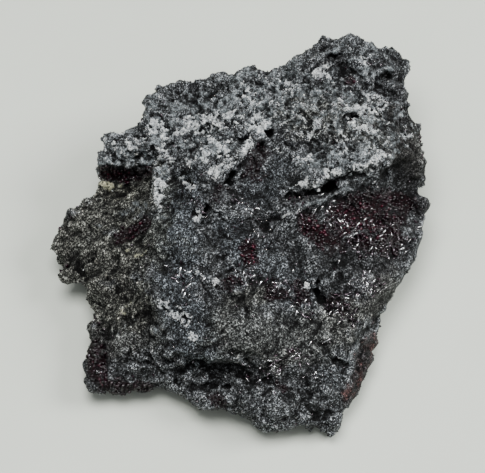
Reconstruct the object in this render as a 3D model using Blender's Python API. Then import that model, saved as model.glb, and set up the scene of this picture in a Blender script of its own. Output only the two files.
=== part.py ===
"""A cabinet-size proustite specimen: a broken slab of dark ore with its crystal crusts.

The matrix is one rock. Its plan is an outline, its top a small survey of spot heights broken by
ledges, pits and knobs, and its underside a rough break that rests on flats. Each proustite crust
is a bed of intergrown prisms that lies in a shallow seat of the rock.

Sizes are in millimetres; MM turns them into Blender's metres. +X is the specimen's right, +Y its
back, +Z up. The origin is the bottom centre of the whole specimen's box.
"""

import math
import random

import bmesh
import bpy
import numpy as np
from mathutils import Euler, Matrix, Vector, noise
from mathutils.bvhtree import BVHTree

MM = 0.001

# ---- The matrix, seen from above --------------------------------------------------------------
# (x, y, z) of the widest edge, clockwise from the left tip: high along the back, low in front.
OUTLINE = [
    (-38.0, -7.5, 7.0), (-37.8, -5.0, 7.0), (-36.6, -2.0, 8.0), (-33.4, 0.4, 9.5),
    (-31.0, 1.5, 11.0), (-30.0, 3.6, 13.0), (-28.8, 6.2, 14.6), (-29.2, 10.6, 14.7),
    (-28.0, 12.8, 15.6), (-26.6, 14.8, 17.5), (-24.0, 14.2, 18.2), (-21.0, 15.4, 19.5),
    (-19.0, 17.8, 21.0), (-17.2, 22.0, 21.0), (-15.4, 24.4, 19.6), (-13.0, 25.4, 19.4),
    (-8.8, 25.2, 20.0), (-6.2, 24.6, 21.5), (-4.8, 26.6, 21.5), (-2.8, 25.4, 21.0),
    (-1.0, 25.8, 21.5), (1.8, 28.2, 21.0), (3.8, 26.2, 22.0), (8.4, 27.2, 21.7),
    (11.2, 29.0, 22.0), (13.0, 30.2, 23.0), (14.2, 32.4, 22.3), (16.2, 33.6, 23.2),
    (20.8, 33.6, 23.0), (23.8, 32.4, 22.3), (25.4, 33.4, 22.0), (27.8, 31.6, 21.5),
    (31.2, 32.2, 19.9), (32.4, 30.0, 20.4), (33.8, 27.6, 20.5), (33.0, 25.4, 19.3),
    (33.4, 20.8, 19.2), (35.8, 17.9, 17.0), (36.6, 14.8, 16.5), (36.8, 9.8, 15.0),
    (37.2, 6.4, 14.2), (34.8, 4.2, 12.8), (34.0, 3.0, 12.6), (36.2, 3.3, 12.2),
    (37.8, 2.4, 12.2), (37.0, -0.8, 11.6), (36.6, -6.0, 11.0), (34.4, -9.8, 9.7),
    (31.2, -15.6, 9.5), (28.2, -21.2, 8.6), (26.6, -24.4, 7.0), (26.0, -28.4, 6.0),
    (24.6, -32.6, 4.5), (23.0, -37.0, 4.2), (21.2, -39.4, 3.4), (19.4, -41.0, 3.0),
    (17.2, -44.6, 3.0), (11.8, -44.9, 4.0), (5.8, -45.8, 3.6), (3.2, -45.4, 4.6),
    (1.2, -43.2, 4.6), (-4.2, -42.3, 5.2), (-10.2, -40.3, 4.6), (-13.2, -37.8, 4.8),
    (-14.6, -36.4, 5.4), (-17.0, -35.8, 5.4), (-21.2, -36.6, 4.4), (-26.8, -36.1, 4.8),
    (-30.2, -36.2, 4.0), (-31.4, -32.0, 3.6), (-32.0, -31.0, 4.0), (-30.2, -27.4, 5.0),
    (-31.0, -25.2, 5.7), (-30.4, -21.8, 6.8), (-29.8, -20.0, 7.0), (-31.8, -17.4, 8.4),
    (-32.6, -14.5, 7.6), (-35.8, -13.6, 7.6), (-36.4, -12.0, 7.4), (-35.8, -10.2, 6.6),
]
HEART = (0.0, -6.0)  # the plan's middle, which the sides lean in towards below

# ---- The top surface --------------------------------------------------------------------------
# Spot heights (x, y, z) above the table, away from the rim.
SPOT_HEIGHTS = [
    # the knob at the back right and the plateau along the back
    (17.8, 26.7, 25.5), (25.8, 27.2, 24.5), (30.8, 26.4, 21.5), (-11.2, 21.3, 21.0),
    (-8.2, 17.1, 23.0), (-0.2, 18.8, 24.0), (4.0, 24.0, 22.5), (11.8, 16.1, 25.0),
    (21.8, 11.3, 26.0), (29.8, 15.3, 22.5), (27.5, 20.5, 22.0), (34.0, 11.0, 18.5),
    # the ridge and the long ledge's brow
    (-14.2, 13.6, 21.5), (-4.2, 4.0, 23.5), (-0.2, 9.0, 24.5), (11.8, 0.6, 23.5),
    (20.8, 3.6, 24.5), (26.8, 6.0, 24.5), (31.8, 8.3, 21.5),
    # the grey slope between the ridge and the long ledge
    (4.8, 6.5, 21.5), (11.8, 5.0, 23.0), (1.8, 1.0, 21.5),
    # the crystal field at the right and the slope down to the right edge
    (17.8, -8.0, 20.0), (27.8, -6.0, 18.5), (22.8, -10.6, 18.5), (33.8, -6.5, 14.5),
    (34.8, -1.5, 14.5), (1.8, -5.2, 21.0),
    # the block at the back left, the hollow under it and the left shelf
    (-22.2, 11.6, 19.5), (-26.2, 9.6, 18.0), (-26.2, 2.8, 13.5), (-32.2, -3.0, 11.5),
    (-26.2, -5.9, 13.0), (-21.5, -4.0, 14.0), (-22.0, -9.5, 14.0), (-33.2, -9.7, 9.5),
    (-26.2, -14.9, 13.0),
    # the middle block and what falls away from it to the front
    (-16.2, -3.1, 19.0), (-17.2, -14.8, 18.0), (-11.2, -8.5, 21.0), (-12.2, -21.3, 20.0),
    (-5.2, -12.5, 20.5), (3.8, -16.6, 19.5), (11.8, -20.8, 19.0), (21.8, -20.1, 17.5),
    (28.2, -15.0, 14.5), (-2.2, -28.0, 18.0), (-12.2, -29.0, 17.0), (-22.2, -24.8, 13.5),
    (-27.2, -25.6, 10.5), (-18.2, -32.0, 12.0), (-26.2, -33.0, 8.5), (11.8, -31.4, 16.0),
    (19.8, -27.8, 15.0), (-5.2, -37.5, 10.5), (7.8, -40.0, 12.0), (15.8, -39.5, 11.0),
    (21.8, -34.3, 10.5),
]
SPOT_REACH = 4.2  # how far one spot height carries

# Ledges: points along the brow with how far the ground falls away there, to the left of the
# line's direction, and how far out on either side that fall fades.
LEDGES = {
    "long_ledge": ([(40.0, 8.0, 5.0), (30.5, 5.0, 6.0), (26.5, 3.4, 6.5), (20.5, 0.9, 6.5),
                    (15.0, -0.7, 5.0), (9.0, -2.4, 0.0)][::-1], -1.0, 9.0),
    "ridge": ([(5.4, 15.2, 0.0), (3.4, 12.8, 3.0), (0.4, 9.0, 3.6), (-3.2, 5.4, 2.8),
               (-6.8, 2.2, 0.0)], -1.0, 7.0),
    "back_left_block": ([(-33.0, 5.6, 5.0), (-28.5, 6.8, 6.0), (-25.0, 7.4, 6.0), (-21.0, 8.0, 5.0),
                         (-15.5, 9.6, 0.0)], -1.0, 6.5),
    "middle_block": ([(-16.0, 9.0, 0.0), (-17.4, 5.0, 2.4), (-18.4, 0.0, 3.2), (-19.4, -6.0, 2.8),
                      (-19.0, -12.0, 2.4), (-20.4, -18.0, 2.6), (-22.6, -23.5, 0.0)], -1.0, 6.0),
    "furrow": ([(8.5, -36.4, 0.0), (3.5, -35.2, 4.0), (-2.0, -34.8, 5.5), (-7.0, -33.9, 5.5),
                (-12.5, -33.7, 4.5), (-18.5, -31.4, 0.0)], 1.0, 5.0),
    "centre_step": ([(15.5, -4.6, 0.0), (9.5, -5.4, 2.0), (4.0, -6.8, 2.2), (-3.0, -7.0, 0.0)], 1.0, 5.0),
}
LEDGE_SOFTNESS = 0.7  # half the width over which a ledge falls

# Pits and furrows: (x, y), half-length, half-width, turn in degrees, depth.
PITS = [
    ((22.6, 14.4), 2.6, 1.4, 20, 2.4),
    ((19.6, 24.4), 3.4, 2.0, 25, 2.8),
    ((28.6, 22.6), 3.0, 2.2, -60, 2.4),
    ((-7.2, -4.6), 1.6, 1.9, 0, 3.2),
    ((-3.6, 1.2), 2.2, 1.4, -70, 2.2),
    ((8.6, 11.8), 1.8, 1.2, 30, 1.6),
    ((1.0, 15.6), 2.2, 1.3, 15, 1.8),
    ((-8.8, 13.6), 2.0, 1.2, -10, 1.6),
    ((16.2, -20.6), 2.6, 1.4, -75, 2.6),
    ((17.6, -41.2), 2.8, 1.8, 10, 2.4),
    ((-22.0, 7.0), 4.4, 1.6, 4, 2.2),
    ((-31.0, 1.0), 2.4, 1.0, 35, 1.2),
    ((18.6, 1.2), 3.0, 1.6, 22, 2.2),
    ((-9.0, -35.4), 6.0, 1.2, -5, 2.0),
]

# Knobs that stand out of the surface or the rim: (x, y, z) and radius.
KNOBS = [
    ((-4.6, 25.4, 21.0), 1.9), ((1.8, 26.4, 20.4), 2.5), ((16.6, 31.2, 22.2), 3.2),
    ((21.6, 31.6, 22.0), 2.8), ((25.4, 31.4, 21.0), 2.3), ((29.8, 30.6, 19.6), 2.2),
    ((31.8, 27.6, 19.4), 2.4), ((34.0, 16.2, 16.6), 2.8), ((35.2, 6.8, 13.6), 2.4),
    ((36.0, 1.4, 11.8), 2.2), ((-26.4, 12.6, 17.0), 2.6), ((-29.8, -31.2, 4.6), 2.4),
    ((-28.6, -34.2, 4.8), 2.4), ((-29.4, -24.4, 6.6), 2.2), ((-34.4, -12.0, 7.2), 2.4),
    ((12.0, -1.2, 22.6), 2.2), ((23.0, 4.2, 25.0), 2.4), ((17.0, -42.6, 4.4), 2.6),
]

# ---- The rim, the sides and the underside -----------------------------------------------------
RIM_ROUND = 6.0  # how far in from the rim the top rounds off
LEAN = (0.08, 0.24)  # least and greatest share by which the sides draw in at the table
BREAK_DEPTH = 3.2  # how far the hollows of the underside rise off the table
FLAT_SHARE = 0.30  # how much of that relief is cut off flat
FLAT_RADIUS = 13.0  # the level middle of the underside that it rests on

# ---- Roughness --------------------------------------------------------------------------------
# Wavelength and height of each layer of lumps, from broad swells to clods.
LUMPS = [(15.0, 1.3), (7.0, 0.9), (4.2, 0.55)]
CLOD_SIZE, CLOD_CREVICE = 6.5, 0.9
BLANK_VOXEL, FUSE_VOXEL = 0.9, 0.8
MATRIX_TRIANGLES = 4900

# ---- Proustite crusts -------------------------------------------------------------------------
# Where each lies (x, y), its half-length, half-width, turn in degrees and how deep it is seated.
CRUSTS = {
    "proustite_crust_right": ((26.6, -6.0), 8.6, 6.2, -14, 2.6),
    "proustite_crust_middle": ((14.0, -9.8), 5.4, 4.0, 18, 2.4),
    "proustite_crust_front": ((20.4, -21.6), 6.0, 4.6, 60, 2.3),
    "proustite_crust_centre": ((6.4, -19.6), 5.6, 3.4, -12, 2.3),
    "proustite_crust_hollow": ((-22.2, 5.4), 3.6, 2.1, 5, 2.0),
    "proustite_crust_shelf": ((-22.4, -6.6), 3.6, 2.6, 30, 2.0),
    "proustite_crust_foot": ((-27.4, -31.4), 3.4, 3.8, 0, 2.0),
}
SEAT_GAP = 0.4  # clearance all round between a crust and its seat
CRUST_LEVEL = 0.5  # how far below the rock's surface the bed between the crystals lies
CRYSTAL_SPACING = 2.5
CRYSTAL_RADIUS = (0.75, 1.2)
CRYSTAL_LENGTH = (3.0, 4.8)
CRYSTAL_TILT = 34  # degrees from the crust's own normal
CRYSTAL_TIP = 0.32  # the pointed end's share of the length

BROKEN_ORE = (0.055, 0.058, 0.062)
PROUSTITE_RED = (0.12, 0.008, 0.014)


# ---- Helpers ----------------------------------------------------------------------------------
def clear_scene():
    for obj in list(bpy.data.objects):
        bpy.data.objects.remove(obj, do_unlink=True)


def principled(name, colour, roughness, metallic):
    material = bpy.data.materials.new(name)
    material.use_nodes = True
    shader = material.node_tree.nodes["Principled BSDF"]
    shader.inputs["Base Color"].default_value = (*colour, 1.0)
    shader.inputs["Roughness"].default_value = roughness
    shader.inputs["Metallic"].default_value = metallic
    return material


def add_object(name, mesh):
    obj = bpy.data.objects.new(name, mesh)
    bpy.context.scene.collection.objects.link(obj)
    return obj


def from_bmesh(name, bm):
    mesh = bpy.data.meshes.new(name)
    bm.normal_update()
    bm.to_mesh(mesh)
    bm.free()
    return add_object(name, mesh)


def make_real(obj):
    """Replaces the object's mesh by what its modifiers make of it."""
    graph = bpy.context.evaluated_depsgraph_get()
    mesh = bpy.data.meshes.new_from_object(obj.evaluated_get(graph))
    obj.modifiers.clear()
    obj.data = mesh


def remesh(obj, voxel):
    modifier = obj.modifiers.new("fuse", "REMESH")
    modifier.mode = "VOXEL"
    modifier.voxel_size = voxel * MM
    make_real(obj)


def boolean(obj, other, operation, overlapping=False):
    modifier = obj.modifiers.new(operation.lower(), "BOOLEAN")
    modifier.operation = operation
    modifier.solver = "EXACT"
    modifier.use_self = overlapping
    modifier.object = other
    make_real(obj)


def read_points(obj):
    """The object's vertices in millimetres."""
    points = np.empty(len(obj.data.vertices) * 3)
    obj.data.vertices.foreach_get("co", points)
    return points.reshape(-1, 3) / MM


def write_points(obj, points):
    obj.data.vertices.foreach_set("co", (points * MM).ravel())
    obj.data.update()


def smooth_step(value):
    value = np.clip(value, 0.0, 1.0)
    return value * value * (3.0 - 2.0 * value)


def nearest_on_path(points, path):
    """Distance from each point to a path, its side (positive to the left) and the path's height."""
    corners = np.array(path)
    best = np.full(len(points), np.inf)
    side = np.zeros(len(points))
    height = np.zeros(len(points))
    for start, end in zip(corners[:-1], corners[1:]):
        run = end - start
        offset = points - start[:2]
        along = np.clip(offset @ run[:2] / (run[:2] @ run[:2]), 0.0, 1.0)
        gap = np.linalg.norm(offset - along[:, None] * run[:2], axis=1)
        cross = run[0] * offset[:, 1] - run[1] * offset[:, 0]
        nearer = gap < best - 1e-6
        best[nearer] = gap[nearer]
        side[nearer] = np.sign(cross[nearer])
        height[nearer] = (start[-1] + along * run[-1])[nearer]
    return best, side, height


# ---- The matrix's relief ----------------------------------------------------------------------
def survey_height(xy):
    """Height carried from the spot heights, nearer ones counting for more."""
    spots = np.array(SPOT_HEIGHTS)
    apart = np.linalg.norm(xy[:, None, :] - spots[None, :, :2], axis=2)
    weight = np.exp(-((apart / SPOT_REACH) ** 2)) + 1e-4 / (1.0 + apart**2)
    return weight @ spots[:, 2] / weight.sum(axis=1)


def ledge_height(xy):
    """What the ledges add above their brow and take away below it."""
    total = np.zeros(len(xy))
    for path, falling_side, reach in LEDGES.values():
        gap, side, drop = nearest_on_path(xy, path)
        above = 2.0 * smooth_step(0.5 - 0.5 * falling_side * side * gap / LEDGE_SOFTNESS) - 1.0
        total += 0.5 * drop * above * np.exp(-2.0 * (gap / reach) ** 2)
    return total


def pit_depth(xy):
    total = np.zeros(len(xy))
    for centre, half_length, half_width, turn, depth in PITS:
        angle = math.radians(turn)
        offset = xy - np.array(centre)
        along = offset[:, 0] * math.cos(angle) + offset[:, 1] * math.sin(angle)
        across = offset[:, 1] * math.cos(angle) - offset[:, 0] * math.sin(angle)
        reach = (along / half_length) ** 2 + (across / half_width) ** 2
        total += depth * np.exp(-(reach**1.5))
    return total


def top_height(xy):
    return survey_height(xy) + ledge_height(xy) - pit_depth(xy)


def around(xy, seed):
    """A slow variation around the specimen, from 0 to 1."""
    angles = np.arctan2(xy[:, 1] - HEART[1], xy[:, 0] - HEART[0])
    wave = [noise.noise(Vector((2.2 * math.cos(a), 2.2 * math.sin(a), seed))) for a in angles]
    return np.clip(0.5 + 0.9 * np.array(wave), 0.0, 1.0)


def underside_height(xy):
    """A rough break, cut off level in places and all across the middle, where it rests."""
    rough = np.array([noise.fractal(Vector((x * 0.075, y * 0.075, 7.3)), 0.9, 2.1, 3) for x, y in xy])
    from_heart = np.linalg.norm(xy - np.array(HEART), axis=1)
    outside_flat = smooth_step((from_heart - FLAT_RADIUS) / 8.0)
    return BREAK_DEPTH * outside_flat * np.clip(rough + 0.5 - FLAT_SHARE, 0.0, 1.0)


def matrix_blank():
    """The outline as a plate one unit of RIM thick, in even quads."""
    plate = 15.0
    bm = bmesh.new()
    corners = [bm.verts.new((x * MM, y * MM, 0.0)) for x, y, _ in OUTLINE]
    face = bm.faces.new(corners)
    raised = bmesh.ops.extrude_face_region(bm, geom=[face])["geom"]
    lifted = [item for item in raised if isinstance(item, bmesh.types.BMVert)]
    bmesh.ops.translate(bm, verts=lifted, vec=(0.0, 0.0, plate * MM))
    bmesh.ops.recalc_face_normals(bm, faces=bm.faces[:])
    obj = from_bmesh("matrix_rock", bm)
    remesh(obj, BLANK_VOXEL)
    points = read_points(obj)
    points[:, 2] = np.clip(points[:, 2] / plate, 0.0, 1.0)
    return obj, points


def shape_blank(points):
    """Carries the plate's points (x, y, share of height) onto the rock's surface."""
    xy, share = points[:, :2], points[:, 2]
    from_rim, _, rim = nearest_on_path(xy, OUTLINE + OUTLINE[:1])
    outward = 1.0 - np.clip(from_rim / RIM_ROUND, 0.0, 1.0)
    top = rim + (top_height(xy) - rim) * np.sqrt(1.0 - outward**2)
    lean = LEAN[0] + (LEAN[1] - LEAN[0]) * around(xy, 3.1)
    drawn_in = 1.0 - lean * (1.0 - share) ** 1.4
    shaped = np.empty_like(points)
    shaped[:, :2] = np.array(HEART) + (xy - np.array(HEART)) * drawn_in[:, None]
    low = underside_height(shaped[:, :2])
    shaped[:, 2] = low + (top - low) * share
    return shaped


def add_knobs(rock):
    """Knobs as small balls joined to the rock's mesh, which the remesh then fuses."""
    bm = bmesh.new()
    bm.from_mesh(rock.data)
    for (x, y, z), radius in KNOBS:
        place = Matrix.Translation(Vector((x, y, z)) * MM)
        bmesh.ops.create_icosphere(bm, subdivisions=3, radius=radius * MM, matrix=place)
    bm.to_mesh(rock.data)
    bm.free()


def lump_offset(place):
    """How far out of the smooth form the surface stands at a place, in millimetres."""
    offset = 0.0
    for layer, (wavelength, height) in enumerate(LUMPS):
        offset += height * noise.noise(place / wavelength + Vector((layer * 9.1, 4.7, 1.3)))
    nearest, second = noise.voronoi(place / CLOD_SIZE)[0][:2]
    crevice = 1.0 - min((second - nearest) / 0.35, 1.0)
    return offset - CLOD_CREVICE * crevice * crevice


def roughen(rock):
    points = read_points(rock)
    normals = np.empty(len(points) * 3)
    rock.data.vertices.foreach_get("normal", normals)
    offsets = np.array([lump_offset(Vector(point)) for point in points])
    held = smooth_step((points[:, 2] - 0.3) / 2.5)  # the flats on the table stay flat
    points += normals.reshape(-1, 3) * (offsets * held)[:, None]
    points[:, 2] = np.maximum(points[:, 2], 0.0)
    write_points(rock, points)


def thin_out(rock, triangles):
    modifier = rock.modifiers.new("thin_out", "DECIMATE")
    modifier.ratio = triangles / (2.0 * len(rock.data.polygons))
    make_real(rock)
    points = read_points(rock)
    points[points[:, 2] < 0.15, 2] = 0.0
    write_points(rock, points)


def build_matrix(material):
    rock, plate_points = matrix_blank()
    write_points(rock, shape_blank(plate_points))
    add_knobs(rock)
    remesh(rock, FUSE_VOXEL)
    roughen(rock)
    thin_out(rock, MATRIX_TRIANGLES)
    rock.data.materials.clear()
    rock.data.materials.append(material)
    return rock


# ---- The crusts -------------------------------------------------------------------------------
def seat_frame(rock, centre, turn):
    """Where a crust's seat lies: on the rock's surface, square to its mean slope there."""
    surface = BVHTree.FromObject(rock, bpy.context.evaluated_depsgraph_get())
    hits = []
    for x, y in ((0, 0), (2, 0), (-2, 0), (0, 2), (0, -2)):
        start = Vector((centre[0] + x, centre[1] + y, 60.0)) * MM
        hits.append(surface.ray_cast(start, Vector((0.0, 0.0, -1.0)))[0])
    height = sum(hit.z for hit in hits) / len(hits)
    slope_x = max(-0.5, min(0.5, (hits[1].z - hits[2].z) / (4.0 * MM)))
    slope_y = max(-0.5, min(0.5, (hits[3].z - hits[4].z) / (4.0 * MM)))
    facing = Vector((-slope_x, -slope_y, 1.0)).to_track_quat("Z", "Y").to_matrix().to_4x4()
    place = Matrix.Translation(Vector((centre[0] * MM, centre[1] * MM, height)))
    return place @ facing @ Matrix.Rotation(math.radians(turn), 4, "Z")


def seat_ball(name, frame, half_length, half_width, depth):
    """The seat's own form: a flattened ball, deeper than it is exposed."""
    bm = bmesh.new()
    bmesh.ops.create_icosphere(bm, subdivisions=2, radius=1.0)
    size = Matrix.Diagonal((half_length * MM, half_width * MM, depth * MM, 1.0))
    bmesh.ops.transform(bm, matrix=frame @ size, verts=bm.verts[:])
    ball = from_bmesh(name, bm)
    ball.hide_render = True
    ball.display_type = "WIRE"
    return ball


def add_crystal(bm, frame, spot, radius, length, rng):
    """A six-sided prism with a three-faced point, its foot sunk in the crust."""
    tilt = math.radians(rng.uniform(0.0, CRYSTAL_TILT))
    turn = Euler((tilt, 0.0, rng.uniform(0.0, math.tau)), "XYZ").to_matrix().to_4x4()
    spin = Matrix.Rotation(rng.uniform(0.0, math.tau), 4, "Z")
    foot = Matrix.Translation(Vector((spot[0], spot[1], -0.45 * length)) * MM)
    place = frame @ foot @ Matrix.Rotation(rng.uniform(0.0, math.tau), 4, "Z") @ turn @ spin
    rings = []
    for height in (0.0, length * (1.0 - CRYSTAL_TIP)):
        ring = []
        for corner in range(6):
            angle = math.tau * corner / 6
            lift = 0.16 * length * (corner % 2) if height else 0.0
            at = Vector((radius * math.cos(angle), radius * math.sin(angle), height + lift)) * MM
            ring.append(bm.verts.new(place @ at))
        rings.append(ring)
    tip = bm.verts.new(place @ (Vector((0.0, 0.0, length)) * MM))
    bm.faces.new(rings[0][::-1])
    for corner in range(6):
        after = (corner + 1) % 6
        bm.faces.new((rings[0][corner], rings[0][after], rings[1][after], rings[1][corner]))
        bm.faces.new((rings[1][corner], rings[1][after], tip))


def crystal_spots(half_length, half_width, rng):
    """Jittered places over an ellipse, in offset rows."""
    rows = int(half_width / (0.87 * CRYSTAL_SPACING)) + 1
    columns = int(half_length / CRYSTAL_SPACING) + 1
    for row in range(-rows, rows + 1):
        for column in range(-columns, columns + 1):
            x = (column + 0.5 * (row % 2)) * CRYSTAL_SPACING + rng.uniform(-0.5, 0.5)
            y = row * 0.87 * CRYSTAL_SPACING + rng.uniform(-0.5, 0.5)
            if (x / half_length) ** 2 + (y / half_width) ** 2 < 0.86:
                yield x, y


def build_crust(name, material, rock):
    """Cuts a seat in the rock and fills it with a bed of intergrown crystals."""
    centre, half_length, half_width, turn, depth = CRUSTS[name]
    frame = seat_frame(rock, centre, turn)
    seat = seat_ball("seat", frame, half_length, half_width, depth)
    boolean(rock, seat, "DIFFERENCE")
    room = seat_ball("room", frame, half_length - SEAT_GAP, half_width - SEAT_GAP, depth - SEAT_GAP)

    bm = bmesh.new()
    size = Matrix.Diagonal((3.0 * half_length * MM, 3.0 * half_width * MM, 2.0 * depth * MM, 1.0))
    low = Matrix.Translation(Vector((0.0, 0.0, -CRUST_LEVEL - depth)) * MM)
    bmesh.ops.create_cube(bm, size=1.0, matrix=frame @ low @ size)
    crust = from_bmesh(name, bm)

    rng = random.Random(name)
    bm = bmesh.new()
    for spot in crystal_spots(half_length - SEAT_GAP, half_width - SEAT_GAP, rng):
        radius = rng.uniform(*CRYSTAL_RADIUS)
        add_crystal(bm, frame, spot, radius, rng.uniform(*CRYSTAL_LENGTH), rng)
    bmesh.ops.recalc_face_normals(bm, faces=bm.faces[:])
    crystals = from_bmesh("crystals", bm)

    boolean(crust, crystals, "UNION", overlapping=True)
    boolean(crust, room, "INTERSECT")
    for helper in (seat, room, crystals):
        bpy.data.objects.remove(helper, do_unlink=True)
    crust.data.materials.clear()
    crust.data.materials.append(material)
    return crust


def stand_on_origin(objects):
    """Moves everything so that the origin is the bottom centre of the whole box."""
    points = np.concatenate([read_points(obj) for obj in objects])
    low, high = points.min(axis=0), points.max(axis=0)
    shift = np.array([(low[0] + high[0]) / 2.0, (low[1] + high[1]) / 2.0, low[2]])
    for obj in objects:
        write_points(obj, read_points(obj) - shift)


def main():
    clear_scene()
    ore = principled("dark_ore", BROKEN_ORE, 0.75, 0.1)
    ruby = principled("proustite", PROUSTITE_RED, 0.2, 0.45)
    rock = build_matrix(ore)
    crusts = [build_crust(name, ruby, rock) for name in CRUSTS]
    stand_on_origin([rock, *crusts])
    for obj in [rock, *crusts]:
        print(obj.name, sum(len(face.vertices) - 2 for face in obj.data.polygons), "triangles")


main()
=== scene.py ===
"""Looks of the proustite specimen: a skin of fine rock, its crusts of grains and its crystals."""
import itertools
import math

import bmesh
import bpy
import numpy as np
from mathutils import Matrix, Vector
from mathutils.bvhtree import BVHTree


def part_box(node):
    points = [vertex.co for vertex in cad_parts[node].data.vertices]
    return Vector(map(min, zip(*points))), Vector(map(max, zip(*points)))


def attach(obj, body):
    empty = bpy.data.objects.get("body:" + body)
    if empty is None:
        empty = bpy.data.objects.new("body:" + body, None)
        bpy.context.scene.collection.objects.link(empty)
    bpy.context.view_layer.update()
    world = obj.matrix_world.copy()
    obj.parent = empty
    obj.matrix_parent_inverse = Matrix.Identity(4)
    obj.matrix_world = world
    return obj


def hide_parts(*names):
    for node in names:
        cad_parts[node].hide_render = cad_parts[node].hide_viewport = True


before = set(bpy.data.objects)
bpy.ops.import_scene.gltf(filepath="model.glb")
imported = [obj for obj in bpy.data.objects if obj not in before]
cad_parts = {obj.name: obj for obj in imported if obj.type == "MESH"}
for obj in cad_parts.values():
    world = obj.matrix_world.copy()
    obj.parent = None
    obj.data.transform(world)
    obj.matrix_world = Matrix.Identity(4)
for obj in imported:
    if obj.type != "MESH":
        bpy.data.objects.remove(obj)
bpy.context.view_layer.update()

MM = 0.001
RIGHT = np.array((1.0, 0.0, 0.0))
UP = np.array((0.0, 0.0, 1.0))
CRUSTS = [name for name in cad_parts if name.startswith("proustite_crust")]

# ---- Camera ----
PICTURE = (485, 473)  # the picture's width and height in pixels
PIXEL = 0.2  # how many millimetres one pixel covers at LOOK_AT
ELEVATION = 65.0
DISTANCE = 700.0
LOOK_AT = np.array((0.2, -1.5, 14.0))
TOWARDS_CAMERA = np.array((0.0, -math.cos(math.radians(ELEVATION)), math.sin(math.radians(ELEVATION))))
PICTURE_UP = np.array((0.0, math.sin(math.radians(ELEVATION)), math.cos(math.radians(ELEVATION))))
FLOOR_HALF = 3000.0  # half the floor's width, in millimetres

# ---- Light, in metres and watts ----
WINDOW = (-0.08, 0.04, 0.82)  # the main light's place
LIGHTS = [  # name, place, width, power, colour
    ("ceiling", (0.0, -0.20, 1.20), 1.5, 4.5, (0.97, 0.99, 1.0)),
    ("window", WINDOW, 0.45, 8.1, (1.0, 1.0, 0.985)),
    ("lamp", (0.60, 0.08, 0.56), 0.40, 7.4, (1.0, 1.0, 1.0)),
]
SKY = (0.93, 0.96, 1.0)
SKY_STRENGTH = 0.22

# ---- The skin ----
COARSE_VOXEL = 0.44  # millimetres, while the large shapes are carved
FINE_VOXEL = 0.34  # millimetres, for the clods and the fine relief
SKIN_TRIANGLES = 180000
SUNK = 0.06  # millimetres that the skin is lowered before the clods raise it again
SMOOTHING = 5  # passes over the whole skin, to take the solids' flat facets off
SEAT_SMOOTHING = 40  # passes over the crusts' seats, where their large prisms stood
CLODS_PER_MM2 = 0.50
CLODS_MOST = 9000
CLOD_RADIUS = (0.45, 1.50)  # millimetres
# Picture place (u, v) and radius of the clods that stand out by themselves.
NUBS = [(421, 200, 1.6), (424, 208, 1.5), (421, 217, 1.3), (310, 284, 0.5), (317, 187, 0.8)]
REST_HEIGHT = 0.5  # millimetres; below this the skin stays where it is, flat on the floor
REST_FADE = 1.5  # millimetres above it, over which the relief comes in

# ---- What grows on the skin: most of each kind, and how many for a square millimetre ----
ORE_GRAINS_MOST = 22000
ORE_GRAINS_PER_MM2 = 4.0
PALE_PLACES_MOST = 70000
PALE_GRAINS_MOST = 22000
PALE_PLACES_PER_MM2 = 70.0
PALE_HEIGHT = 0.17  # millimetres that a pale grain's middle may stand above the skin
PRISMS_MOST = 8600
PRISMS_PER_MM2 = 9.0
BRIGHT_PRISMS_MOST = 7000
BRIGHT_PRISMS_PER_MM2 = {"glint": 4.5, "ruby": 0.4, "anywhere": 0.12}
FLASH_LIFT = 0.25  # millimetres that a flash is lifted towards the camera before it settles
NAMED_FLASH_LIFT = 0.9
SETTLED_DEPTH = 0.05  # millimetres that a settled crystal's lowest corner is sunk in the skin
PROBE = 5.0  # millimetres above a crystal, where the search for the skin under it starts
SEEDS = {"clods": 50, "ore_grains": 100, "pale_crust": 200, "proustite": 300, "bright": 400}

# ---- Zones: strokes over the picture, in its pixels: half-width, strength, points (u, v) ----
# The whitish crust.
PALE = [
    (8, 0.75, (108, 148), (126, 141), (146, 138)), (9, 0.9, (150, 134), (170, 122), (196, 126), (214, 120)),
    (9, 0.75, (206, 130), (222, 126), (238, 120), (262, 118)),
    (7, 0.85, (158, 146), (168, 160), (160, 180), (155, 208)), (6, 0.8, (166, 141), (182, 135)),
    (6, 1.0, (258, 122), (246, 146), (232, 160), (216, 172)), (9, 0.9, (210, 148), (230, 150)),
    (8, 0.6, (186, 162), (206, 160)), (12, 0.58, (250, 96), (300, 98), (330, 108), (372, 120), (400, 130)),
    (12, 0.62, (290, 124), (330, 134), (380, 138)), (4, 0.8, (184, 180), (192, 186)),
    (4.5, 0.9, (300, 187), (318, 181), (334, 173), (352, 170), (370, 166), (384, 156)),
    (5, 0.6, (302, 159), (322, 152)), (5, 0.8, (340, 152), (354, 146)), (5, 0.8, (368, 151), (382, 145)),
    (3, 0.9, (284, 216), (300, 210)), (1.5, 0.6, (228, 236), (227, 252)), (4, 1.0, (318, 75), (327, 65)),
    (4, 1.0, (354, 62), (366, 59)), (8, 0.6, (330, 86), (352, 94)), (5, 0.95, (364, 94), (384, 104)),
    (4, 0.95, (354, 106), (372, 112)), (4, 0.95, (352, 124), (366, 130)), (4, 0.9, (286, 84), (294, 87)),
    (4, 0.8, (311, 92), (320, 96)), (4, 0.8, (270, 147), (282, 151)),
    (6, 0.95, (164, 304), (172, 314), (186, 320)), (4, 0.85, (186, 322), (195, 335)),
    (4, 1.0, (200, 207), (197, 220)), (5, 0.85, (201, 276), (212, 282)), (2.2, 1.5, (306, 287), (313, 281)),
    (3, 1.6, (315, 184), (319, 190)),
]
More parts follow.
